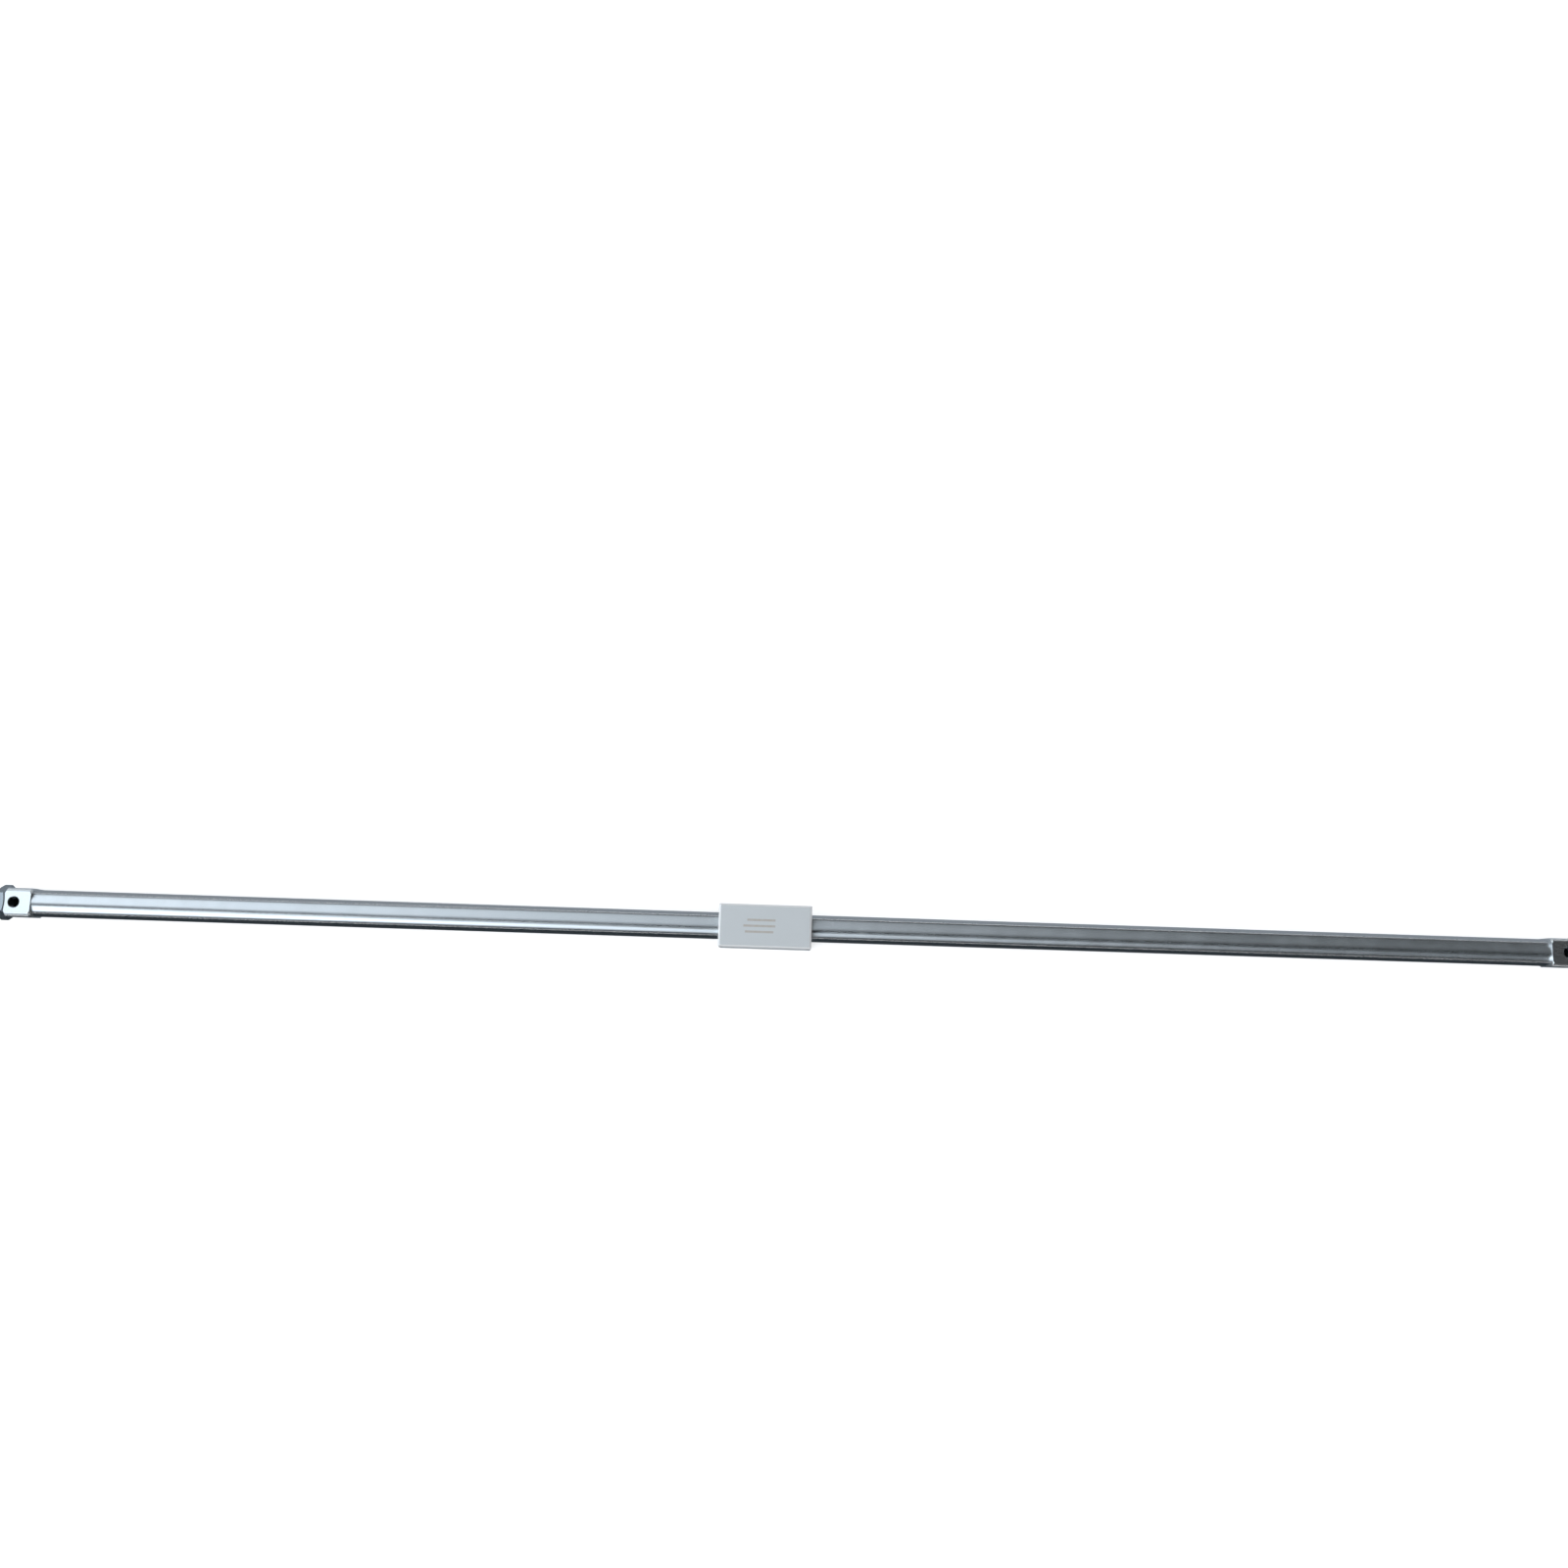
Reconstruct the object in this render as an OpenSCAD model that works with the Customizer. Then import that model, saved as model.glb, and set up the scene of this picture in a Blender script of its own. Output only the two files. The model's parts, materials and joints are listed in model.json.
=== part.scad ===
// Magnetically coupled rodless pneumatic cylinder, basic type.
// The tube runs along X. The origin is on the tube axis, halfway along it, and +Z is the side of the air ports.
// The pieces of a pair are modelled at the right-hand end and mirrored for the left.

/* [Cylinder tube] */
// Bore of the cylinder tube
bore_d = 20; // [17:0.5:20.5]
// Wall of the cylinder tube
tube_wall = 1.4; // [1:0.1:1.7]
// Travel of the slider from end to end
stroke = 1200; // [200:10:1500]
// Gap left between the slider and a head cover at each end of the travel
end_gap = 0.5; // [0.3:0.1:2]
// Chamfer on the outside of the tube's ends
tube_end_chamfer = 0.3; // [0.1:0.1:0.5]

/* [Slide block] */
// Length of the slide block along the tube
slider_l = 78; // [72:1:100]
// Width and height of the slide block
slider_w = 36; // [34:0.5:44]
// Chamfer on the edges round the slide block's top, bottom, sides and ends
slider_chamfer = 1.5; // [0.5:0.1:1.8]
// Chamfer on its four upright corner edges
slider_corner = 0.5; // [0.3:0.1:1.5]
// Where the middle of the slider stands, from the middle of the tube
slider_x = -22; // [-90:1:90]
// Wall between the slide block's flats and its bore
slider_wall = 2.5; // [2.2:0.1:3]
// Lead-in chamfer at the mouths of that bore
slider_lead = 0.5; // [0.2:0.1:0.8]
// Distance between the workpiece holes along the tube
hole_pitch_x = 50; // [30:1:60]
// Distance between the workpiece holes across the tube
hole_pitch_y = 25; // [24:0.5:27]
// Tapping drill of the workpiece holes, for an M4 screw
hole_d = 3.3; // [3.2:0.1:3.5]
// Full depth of the workpiece holes
hole_depth = 6; // [4:0.5:6]
// Countersink at the mouths of the workpiece holes
hole_sink = 0.5; // [0.2:0.1:0.8]

/* [Slider stack] */
// Number of magnet rings in the slider and on the piston
magnet_n = 3; // [1:1:3]
// Thickness of each magnet ring
magnet_t = 7; // [5:0.25:8]
// Thickness of each yoke ring
yoke_t = 2.75; // [2:0.25:3.5]
// Thickness of each spacer beside the outer magnets
spacer_t = 1.7; // [1:0.1:2.5]
// Thickness of each lubricant retainer
lube_t = 4; // [3:0.5:5]
// Thickness of each scraper
scraper_t = 3.4; // [3:0.1:4]
// Thickness of each end washer
washer_t = 1.5; // [1:0.1:2]
// Thickness of each snap ring in the slider
clip_t = 1.2; // [1:0.1:1.5]
// Radial width of each snap ring in the slider
clip_w = 1.7; // [1.4:0.1:2]
// Depth of the snap ring grooves in the slide block
clip_groove = 0.8; // [0.6:0.1:1]
// Wall left outside each snap ring groove
clip_land = 1.2; // [1:0.1:2]
// Half the angle of the snap ring's opening
clip_half_gap = 16; // [12:1:25]
// Radius of the snap ring's eyes
clip_eye_r = 1.3; // [1.1:0.1:1.4]
// How far each eye stands in from the snap ring's outer edge
clip_eye_set = 0.15; // [0.1:0.05:0.3]
// Hole in each eye, for the pliers
clip_eye_hole_d = 1.2; // [1:0.1:1.4]

/* [Head covers] */
// Length of a head cover between its faces
cover_l = 22; // [20:0.5:30]
// Head cover across its flats
cover_af = 24; // [24:0.5:28]
// Diameter to which the head cover's corners are turned
cover_corner_d = 30; // [29:0.5:33]
// Chamfer at the ends of the turned corners
cover_chamfer = 1; // [0.5:0.1:1.5]
// Length of the spigot inside the tube
spigot_l = 7; // [6.5:0.5:9]
// Chamfer on the spigot's end
spigot_chamfer = 0.6; // [0.3:0.1:0.8]
// Distance of the air port from the cover's outer face
port_x = 8; // [7:0.5:9]
// Drill of the air port, for a 1/8 taper thread
port_d = 8.6; // [8.4:0.1:8.8]
// Depth of the air port
port_depth = 8.5; // [7:0.5:8.5]
// Countersink at the mouth of the air port
port_sink = 0.7; // [0.3:0.1:1]
// Air passage from the port into the tube
passage_d = 6; // [4:0.5:7]

/* [Nose and mounting nut] */
// Thread diameter of the mounting nose
nose_d = 20; // [18:1:20]
// Length of the mounting nose
nose_l = 13; // [11:0.5:20]
// Chamfer on the end of the nose
nose_chamfer = 1; // [0.5:0.1:1.5]
// Depth below the thread's outer diameter at which nose and nut meet
thread_bite = 0.5; // [0.3:0.1:0.8]
// Mounting nut across its flats
nut_af = 26; // [25:0.5:30]
// Thickness of the mounting nut
nut_t = 8; // [6:0.5:9]
// Slope of the bevel on the nut's corners, in degrees
nut_bevel = 25; // [15:1:30]

/* [Tube joint] */
// Land between the tube's end and its snap ring
joint_land = 1.8; // [1.4:0.1:2]
// Thickness of the tube's snap ring, both along and across
joint_ring_t = 1; // [0.8:0.1:1.1]
// How far that snap ring reaches into the tube's wall
joint_bite = 0.45; // [0.3:0.05:0.5]
// Half the angle of that snap ring's opening
joint_half_gap = 12; // [8:1:20]
// Land between the snap ring and the tube gasket
joint_mid_land = 1; // [0.8:0.1:1.2]
// Cord thickness of the tube gasket
gasket_t = 1.5; // [1.3:0.1:1.6]

/* [Piston] */
// Length of each piston
piston_l = 10.5; // [10:0.25:12]
// Radial gap between a piston and the tube
piston_gap = 0.3; // [0.2:0.05:0.5]
// Diameter of the piston shaft
shaft_d = 6; // [5:0.5:6.5]
// Radial gap between the inner magnets and the tube
inner_magnet_gap = 0.5; // [0.3:0.05:0.8]
// Land between a piston's inner face and its wear ring
piston_land = 1; // [0.8:0.1:1.3]
// Width of the piston's wear ring
piston_wear_w = 3; // [2.5:0.1:3.2]
// Depth of the groove for that wear ring
piston_wear_depth = 1.2; // [1:0.1:1.5]
// Land between the piston's wear ring and its seal
piston_mid_land = 1.2; // [1:0.1:1.4]
// Width of the piston's seal
seal_w = 3; // [2.6:0.1:3.2]
// Depth of the groove for that seal
seal_depth = 2.4; // [2:0.1:2.5]
// Piston nut across its flats
piston_nut_af = 10; // [9:0.5:10.5]
// Thickness of the piston nut
piston_nut_t = 3.2; // [2.5:0.1:3.5]
// Shaft end that stands out of the piston nut
shaft_proud = 0.6; // [0.3:0.1:0.8]
// Depth of the shaft end below the piston's face
shaft_sunk = 0.4; // [0.2:0.1:0.8]
// Diameter of the recess round the piston nut
nut_recess_d = 12.6; // [12.4:0.1:13]
// Inner diameter of the bumper
bumper_id = 13.6; // [13.4:0.1:14]
// Outer diameter of the bumper
bumper_od = 17.4; // [16.5:0.1:17.6]
// How deep the bumper sits in the piston's face
bumper_seat = 1; // [0.5:0.1:1.2]
// Gap left between the bumper and the spigot at each end of the travel
bumper_gap = 0.3; // [0.2:0.1:0.5]

/* [Fits] */
// Radial clearance of wear rings, scrapers and seals on the tube
running_gap = 0.05; // [0.03:0.01:0.08]
// Clearance of a piece seated in another
seat_gap = 0.05; // [0.02:0.01:0.08]
// Play along the tube between a wear ring and its neighbours
wear_play = 0.1; // [0.05:0.01:0.2]
// Radial gap between the tube and the outer magnets, yokes, spacers and washers
outer_gap = 1; // [0.6:0.1:1.2]

/* [Hidden] */
$fn = 96;
over = 1;
bore_r = bore_d / 2;
tube_r = bore_r + tube_wall;
tube_half = (slider_l + stroke) / 2 + end_gap;

slider_bore_r = slider_w / 2 - slider_wall;
stack_r = slider_bore_r - seat_gap;
stack_half = (magnet_n * magnet_t + (magnet_n + 1) * yoke_t) / 2;
clip_in = slider_l / 2 - clip_land - clip_t;
washer_in = clip_in - washer_t;
scraper_in = washer_in - scraper_t;
lube_in = stack_half + spacer_t;
lube_out = lube_in + lube_t;
clip_groove_r = slider_bore_r + clip_groove;
clip_outer_r = clip_groove_r - seat_gap;
clip_inner_r = clip_outer_r - clip_w;
clip_eye_at = clip_outer_r - clip_eye_r - clip_eye_set;

nose_r = nose_d / 2;
nose_nut_r = nose_r - thread_bite;
nut_corner_r = nut_af / sqrt(3);
spigot_r = bore_r - seat_gap;
joint_ring_in = joint_land + joint_ring_t;
joint_ring_r = bore_r + joint_bite;
joint_floor_r = joint_ring_r - joint_ring_t - seat_gap;
gasket_out = joint_ring_in + joint_mid_land;
gasket_in = gasket_out + gasket_t + 2 * seat_gap;
gasket_floor_r = spigot_r - gasket_t + seat_gap;
drill_point = 31;

shaft_r = shaft_d / 2;
piston_r = bore_r - piston_gap;
piston_out = stack_half + piston_l;
piston_wear_in = stack_half + piston_land;
seal_in = piston_wear_in + piston_wear_w + piston_mid_land;
seal_out = seal_in + seal_w;
seal_floor_r = piston_r - seal_depth;
piston_wear_floor_r = piston_r - piston_wear_depth;
nut_seat = piston_out - shaft_sunk - shaft_proud - piston_nut_t;
shaft_half = piston_out - shaft_sunk;
bumper_tip = slider_l / 2 + end_gap - spigot_l - bumper_gap;

// ---- Helpers ----

// Turns an outline of [radius, x] points about the tube axis
module lathe(outline) {
    rotate([0, 90, 0]) rotate_extrude() polygon(outline);
}

// A plain ring about the tube axis, from x0 to x1
module ring(x0, x1, outer_r, inner_r) {
    rotate([0, 90, 0]) rotate_extrude() translate([inner_r, x0]) square([outer_r - inner_r, x1 - x0]);
}

// A solid round bar along the tube axis, from x0 to x1
module bar(x0, x1, r) {
    translate([x0, 0, 0]) rotate([0, 90, 0]) cylinder(r = r, h = x1 - x0);
}

// A hexagonal bar along the tube axis, with two corners pointing along Y
module hex_bar(x0, x1, corner_r) {
    translate([x0, 0, 0]) rotate([0, 90, 0]) rotate(30) cylinder(r = corner_r, h = x1 - x0, $fn = 6);
}

// A wedge about the tube axis that opens a ring on its -Z side
module opening(x0, x1, r, half_angle) {
    reach = r / cos(half_angle);
    translate([x0, 0, 0]) rotate([90, 0, 90]) linear_extrude(x1 - x0)
        polygon([[0, 0], reach * [-sin(half_angle), -cos(half_angle)], reach * [sin(half_angle), -cos(half_angle)]]);
}

// A square with cut corners
module cut_square(size, cut) {
    x = size[0] / 2;
    y = size[1] / 2;
    polygon([
        [x - cut, -y], [x, cut - y], [x, y - cut], [x - cut, y],
        [cut - x, y], [-x, y - cut], [-x, cut - y], [cut - x, -y]
    ]);
}

// Mirrors a right-hand piece for the left end
module handed(side) {
    if (side == "left") mirror([1, 0, 0]) children();
    else children();
}

// Puts a piece at an end of the tube, with x = 0 at the tube's end face
module at_tube_end(side) {
    handed(side) translate([tube_half, 0, 0]) children();
}

// Puts a piece in the slider or on the piston, with x = 0 at their middle
module at_slider(side = "right") {
    translate([slider_x, 0, 0]) handed(side) children();
}

// ---- Tube and its ends ----

module cylinder_tube() {
    groove_out = tube_half - joint_land + seat_gap;
    groove_in = tube_half - joint_ring_in - seat_gap;
    groove_r = joint_ring_r + seat_gap;
    color("silver") difference() {
        lathe([
            [bore_r, -tube_half], [tube_r - tube_end_chamfer, -tube_half],
            [tube_r, tube_end_chamfer - tube_half], [tube_r, tube_half - tube_end_chamfer],
            [tube_r - tube_end_chamfer, tube_half], [bore_r, tube_half]
        ]);
        for (side = ["left", "right"])
            handed(side) ring(groove_in, groove_out, groove_r, bore_r - seat_gap);
    }
}

// Body and nose of a head cover, turned from one square bar
module cover_blank() {
    r = cover_corner_d / 2;
    intersection() {
        translate([0, -cover_af / 2, -cover_af / 2]) cube([cover_l, cover_af, cover_af]);
        lathe([
            [0, 0], [r - cover_chamfer, 0], [r, cover_chamfer],
            [r, cover_l - cover_chamfer], [r - cover_chamfer, cover_l], [0, cover_l]
        ]);
    }
    lathe([
        [0, cover_l - over], [nose_nut_r, cover_l - over], [nose_nut_r, cover_l + nut_t],
        [nose_r, cover_l + nut_t], [nose_r, cover_l + nose_l - nose_chamfer],
        [nose_r - nose_chamfer, cover_l + nose_l], [0, cover_l + nose_l]
    ]);
}

// Spigot inside the tube, with the grooves of its snap ring and its gasket
module cover_spigot() {
    lathe([
        [0, over], [spigot_r, over],
        [spigot_r, seat_gap - joint_land], [joint_floor_r, seat_gap - joint_land],
        [joint_floor_r, -joint_ring_in - seat_gap], [spigot_r, -joint_ring_in - seat_gap],
        [spigot_r, -gasket_out], [gasket_floor_r, -gasket_out],
        [gasket_floor_r, -gasket_in], [spigot_r, -gasket_in],
        [spigot_r, spigot_chamfer - spigot_l], [spigot_r - spigot_chamfer, -spigot_l], [0, -spigot_l]
    ]);
}

// Air port on the top flat, and the passage that leads from it into the tube
module cover_airway() {
    port_r = port_d / 2;
    passage_r = passage_d / 2;
    translate([cover_l - port_x, 0, 0]) {
        cylinder(r = passage_r, h = cover_af / 2);
        translate([0, 0, cover_af / 2 - port_depth]) cylinder(r = port_r, h = port_depth + over);
        translate([0, 0, cover_af / 2 - port_sink])
            cylinder(r1 = port_r, r2 = port_r + port_sink + over, h = port_sink + over);
    }
    bar(-spigot_l - over, cover_l - port_x, passage_r);
    translate([cover_l - port_x, 0, 0]) sphere(r = passage_r);
}

module head_cover() {
    color("gainsboro") difference() {
        union() {
            cover_blank();
            cover_spigot();
        }
        cover_airway();
    }
}

module tube_gasket() {
    cord_r = gasket_t / 2;
    color("#202020") translate([-gasket_out - seat_gap - cord_r, 0, 0]) rotate([0, 90, 0])
        rotate_extrude() translate([spigot_r - cord_r + seat_gap, 0]) circle(r = cord_r, $fn = 48);
}

module tube_snap_ring() {
    color("dimgray") difference() {
        ring(-joint_ring_in, -joint_land, joint_ring_r, joint_ring_r - joint_ring_t);
        opening(-joint_ring_in - over, over - joint_land, joint_ring_r + over, joint_half_gap);
    }
}

module mounting_nut() {
    face_r = nut_af / 2;
    fall = (nut_corner_r - face_r) * tan(nut_bevel);
    color("lightslategray") difference() {
        intersection() {
            hex_bar(cover_l, cover_l + nut_t, nut_corner_r);
            lathe([
                [0, cover_l], [face_r, cover_l], [nut_corner_r, cover_l + fall],
                [nut_corner_r, cover_l + nut_t - fall], [face_r, cover_l + nut_t], [0, cover_l + nut_t]
            ]);
        }
        bar(cover_l - over, cover_l + nut_t + over, nose_nut_r + seat_gap);
    }
}

// ---- Slider ----

// One workpiece hole, with its drill point and its countersink, in the underside
module workpiece_hole() {
    r = hole_d / 2;
    point = r * tan(drill_point);
    translate([0, 0, -slider_w / 2]) {
        translate([0, 0, -over]) cylinder(r = r, h = hole_depth + over);
        translate([0, 0, hole_depth]) cylinder(r1 = r, r2 = 0, h = point);
        translate([0, 0, -over]) cylinder(r1 = r + hole_sink + over, r2 = r, h = hole_sink + over);
    }
}

module slide_block() {
    half = slider_l / 2;
    lead_r = slider_bore_r + slider_lead + over;
    color("lightsteelblue") difference() {
        intersection() {
            translate([-half, 0, 0]) rotate([90, 0, 90]) linear_extrude(slider_l)
                cut_square([slider_w, slider_w], slider_chamfer);
            translate([0, 0, -slider_w / 2]) linear_extrude(slider_w)
                cut_square([slider_l, slider_w], slider_corner);
            translate([0, slider_w / 2, 0]) rotate([90, 0, 0]) linear_extrude(slider_w)
                cut_square([slider_l, slider_w], slider_chamfer);
        }
        lathe([
            [0, -half - over], [lead_r, -half - over], [slider_bore_r, slider_lead - half],
            [slider_bore_r, half - slider_lead], [lead_r, half + over], [0, half + over]
        ]);
        for (side = ["left", "right"])
            handed(side) ring(clip_in, clip_in + clip_t + seat_gap, clip_groove_r, slider_bore_r - over);
        for (x = [-1, 1] * hole_pitch_x / 2, y = [-1, 1] * hole_pitch_y / 2)
            translate([x, y, 0]) workpiece_hole();
    }
}

// Magnet rings of one pole stack, from inner_r to outer_r
module magnets(outer_r, inner_r) {
    for (i = [0 : magnet_n - 1]) {
        x = (i + 1) * yoke_t + i * magnet_t - stack_half;
        ring(x, x + magnet_t, outer_r, inner_r);
    }
}

// Yoke rings between and beside those magnets
module yokes(outer_r, inner_r) {
    for (i = [0 : magnet_n]) {
        x = i * (yoke_t + magnet_t) - stack_half;
        ring(x, x + yoke_t, outer_r, inner_r);
    }
}

module outer_magnets() {
    color("#4a4d52") magnets(stack_r, tube_r + outer_gap);
}

module outer_yokes() {
    color("#8c8a80") yokes(stack_r, tube_r + outer_gap);
}

module magnet_spacer() {
    color("#8c8a80") ring(stack_half, lube_in, stack_r, tube_r + outer_gap);
}

module lube_retainer() {
    color("khaki") ring(lube_in, lube_out, stack_r, tube_r + running_gap);
}

module slider_wear_ring() {
    color("#3c3f3a") ring(lube_out + wear_play, scraper_in - wear_play, stack_r, tube_r + running_gap);
}

// Scraper with a lip that leans outwards on the tube
module scraper() {
    lip_r = tube_r + running_gap;
    root_r = tube_r + outer_gap;
    color("#1c1c1c") lathe([
        [stack_r, scraper_in], [stack_r, washer_in], [root_r + outer_gap, washer_in],
        [root_r, washer_in - outer_gap], [lip_r, washer_in - outer_gap / 2],
        [lip_r, washer_in - outer_gap], [root_r, scraper_in + outer_gap], [root_r, scraper_in]
    ]);
}

module end_washer() {
    color("silver") ring(washer_in, clip_in, stack_r, tube_r + outer_gap);
}

// Internal snap ring whose ends are two eyes
module slider_snap_ring() {
    eye_angle = clip_half_gap + asin(clip_eye_r / clip_eye_at);
    color("dimgray") difference() {
        union() {
            difference() {
                ring(clip_in, clip_in + clip_t, clip_outer_r, clip_inner_r);
                opening(clip_in - over, clip_in + clip_t + over, clip_outer_r + over, eye_angle);
            }
            for (turn = [-eye_angle, eye_angle])
                rotate([turn, 0, 0]) translate([clip_in, 0, -clip_eye_at]) rotate([0, 90, 0])
                    cylinder(r = clip_eye_r, h = clip_t);
        }
        for (turn = [-eye_angle, eye_angle])
            rotate([turn, 0, 0]) translate([clip_in - over, 0, -clip_eye_at]) rotate([0, 90, 0])
                cylinder(r = clip_eye_hole_d / 2, h = clip_t + 2 * over);
    }
}

// ---- Piston ----

module piston_shaft() {
    color("silver") bar(-shaft_half, shaft_half, shaft_r);
}

module inner_magnets() {
    color("#4a4d52") magnets(bore_r - inner_magnet_gap, shaft_r + seat_gap);
}

module inner_yokes() {
    color("#8c8a80") yokes(bore_r - inner_magnet_gap, shaft_r + seat_gap);
}

// Piston with the grooves of its wear ring and seal, the recess of its nut and the seat of its bumper
module piston() {
    wear_out = piston_wear_in + piston_wear_w;
    color("#b9a15a") difference() {
        lathe([
            [shaft_r + seat_gap, stack_half], [piston_r, stack_half],
            [piston_r, piston_wear_in], [piston_wear_floor_r, piston_wear_in],
            [piston_wear_floor_r, wear_out], [piston_r, wear_out],
            [piston_r, seal_in], [seal_floor_r, seal_in], [seal_floor_r, seal_out], [piston_r, seal_out],
            [piston_r, piston_out], [nut_recess_d / 2, piston_out],
            [nut_recess_d / 2, nut_seat], [shaft_r + seat_gap, nut_seat]
        ]);
        ring(piston_out - bumper_seat, piston_out + over, bumper_od / 2 + seat_gap, bumper_id / 2 - seat_gap);
    }
}

// Lip seal with its notch towards the air
module piston_seal() {
    floor_r = seal_floor_r + seat_gap;
    lip_r = bore_r - running_gap;
    mid_r = (floor_r + lip_r) / 2;
    x0 = seal_in + seat_gap;
    x1 = seal_out - seat_gap;
    color("#1c1c1c") lathe([
        [floor_r, x0], [mid_r, x0], [lip_r, (x0 + x1) / 2], [lip_r, x1],
        [mid_r, (x0 + x1) / 2], [floor_r, x1]
    ]);
}

module piston_wear_ring() {
    color("#3c3f3a") ring(piston_wear_in + seat_gap, piston_wear_in + piston_wear_w - seat_gap,
        bore_r - running_gap, piston_wear_floor_r + seat_gap);
}

module piston_nut() {
    color("dimgray") difference() {
        hex_bar(nut_seat, nut_seat + piston_nut_t, piston_nut_af / sqrt(3));
        bar(nut_seat - over, nut_seat + piston_nut_t + over, shaft_r + seat_gap);
    }
}

module piston_bumper() {
    color("#c07a2c") ring(piston_out - bumper_seat, bumper_tip, bumper_od / 2, bumper_id / 2);
}

// ---- Nodes ----

cylinder_tube();
at_tube_end("left") head_cover();  // left_head_cover
at_tube_end("right") head_cover();  // right_head_cover
at_tube_end("left") tube_gasket();  // left_tube_gasket
at_tube_end("right") tube_gasket();  // right_tube_gasket
at_tube_end("left") tube_snap_ring();  // left_tube_snap_ring
at_tube_end("right") tube_snap_ring();  // right_tube_snap_ring
at_tube_end("left") mounting_nut();  // left_mounting_nut
at_tube_end("right") mounting_nut();  // right_mounting_nut
at_slider() slide_block();
at_slider() outer_magnets();
at_slider() outer_yokes();
at_slider("left") magnet_spacer();  // left_magnet_spacer
at_slider("right") magnet_spacer();  // right_magnet_spacer
at_slider("left") lube_retainer();  // left_lube_retainer
at_slider("right") lube_retainer();  // right_lube_retainer
at_slider("left") slider_wear_ring();  // left_slider_wear_ring
at_slider("right") slider_wear_ring();  // right_slider_wear_ring
at_slider("left") scraper();  // left_scraper
at_slider("right") scraper();  // right_scraper
at_slider("left") end_washer();  // left_end_washer
at_slider("right") end_washer();  // right_end_washer
at_slider("left") slider_snap_ring();  // left_slider_snap_ring
at_slider("right") slider_snap_ring();  // right_slider_snap_ring
at_slider() piston_shaft();
at_slider() inner_magnets();
at_slider() inner_yokes();
at_slider("left") piston();  // left_piston
at_slider("right") piston();  // right_piston
at_slider("left") piston_seal();  // left_piston_seal
at_slider("right") piston_seal();  // right_piston_seal
at_slider("left") piston_wear_ring();  // left_piston_wear_ring
at_slider("right") piston_wear_ring();  // right_piston_wear_ring
at_slider("left") piston_nut();  // left_piston_nut
at_slider("right") piston_nut();  // right_piston_nut
at_slider("left") piston_bumper();  // left_piston_bumper
at_slider("right") piston_bumper();  // right_piston_bumper
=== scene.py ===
"""Looks of a magnetically coupled rodless pneumatic cylinder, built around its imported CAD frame.

The tube runs along X, the ports open towards +Z, and everything is in metres.
"""
import json
import math

import bmesh
import bpy
from mathutils import Matrix, Vector


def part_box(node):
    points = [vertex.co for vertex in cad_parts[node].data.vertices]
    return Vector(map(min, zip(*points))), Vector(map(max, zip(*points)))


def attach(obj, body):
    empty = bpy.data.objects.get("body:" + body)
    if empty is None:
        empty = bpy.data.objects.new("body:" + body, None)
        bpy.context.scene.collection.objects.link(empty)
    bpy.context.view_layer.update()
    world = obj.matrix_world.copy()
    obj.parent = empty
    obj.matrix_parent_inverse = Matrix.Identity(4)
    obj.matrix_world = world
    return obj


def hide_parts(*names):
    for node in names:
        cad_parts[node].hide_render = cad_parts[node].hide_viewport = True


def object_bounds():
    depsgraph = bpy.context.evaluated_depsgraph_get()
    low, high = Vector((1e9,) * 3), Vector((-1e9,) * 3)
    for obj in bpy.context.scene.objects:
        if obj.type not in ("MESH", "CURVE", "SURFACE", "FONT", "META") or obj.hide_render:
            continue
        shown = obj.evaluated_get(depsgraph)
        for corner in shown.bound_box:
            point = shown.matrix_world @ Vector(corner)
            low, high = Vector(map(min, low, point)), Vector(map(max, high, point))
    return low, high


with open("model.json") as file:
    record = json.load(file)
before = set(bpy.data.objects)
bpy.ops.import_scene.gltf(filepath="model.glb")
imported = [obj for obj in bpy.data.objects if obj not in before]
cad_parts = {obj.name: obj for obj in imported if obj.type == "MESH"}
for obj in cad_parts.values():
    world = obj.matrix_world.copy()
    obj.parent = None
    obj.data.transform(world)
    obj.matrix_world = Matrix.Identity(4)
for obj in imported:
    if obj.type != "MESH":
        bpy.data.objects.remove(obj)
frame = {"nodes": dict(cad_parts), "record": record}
CAD_LOW, CAD_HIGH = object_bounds()

MM = 0.001
SIDES = ("left", "right")

# ---- Sizes ----

# Merging distance for the corners of a CAD node, and the angle under which its faces count as one flat
MERGE = 0.001 * MM
FLAT = math.radians(0.8)
# Edges with a larger angle than this are real edges
SHARP = math.radians(28)

# Width of the broken edges on machined, turned and moulded pieces
BLOCK_EDGE = 0.3 * MM
COVER_EDGE = 0.18 * MM
NUT_EDGE = 0.22 * MM
SMALL_EDGE = 0.08 * MM

# Threads: distance between turns and height of the ridges
NOSE_PITCH, NOSE_DEPTH = 1.5 * MM, 0.85 * MM
PORT_PITCH, PORT_DEPTH = 0.907 * MM, 0.42 * MM
HOLE_PITCH, HOLE_DEPTH = 0.7 * MM, 0.2 * MM
# Steps in one turn of a thread, and how far its ridge reaches into the wall
THREAD_STEPS = 48
THREAD_ROOT = 0.04 * MM
# Shares of the pitch: the ridge's width at its crest, and its distance from the ends of the pitch at its root
THREAD_CREST = 0.18
THREAD_GAP = 0.02
# Steps round a turned piece
TURNED_STEPS = 96

# Plain bars printed on top of the slide block, in millimetres from its middle: along, across, and half length
PRINTED_BARS = ((-3.2, 4.8, 11.8), (-4.8, -0.1, 13.4), (-4.8, -5.0, 11.9))
BAR_HALF_WIDTH = 0.9 * MM
BAR_BLUR = 0.15 * MM

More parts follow.
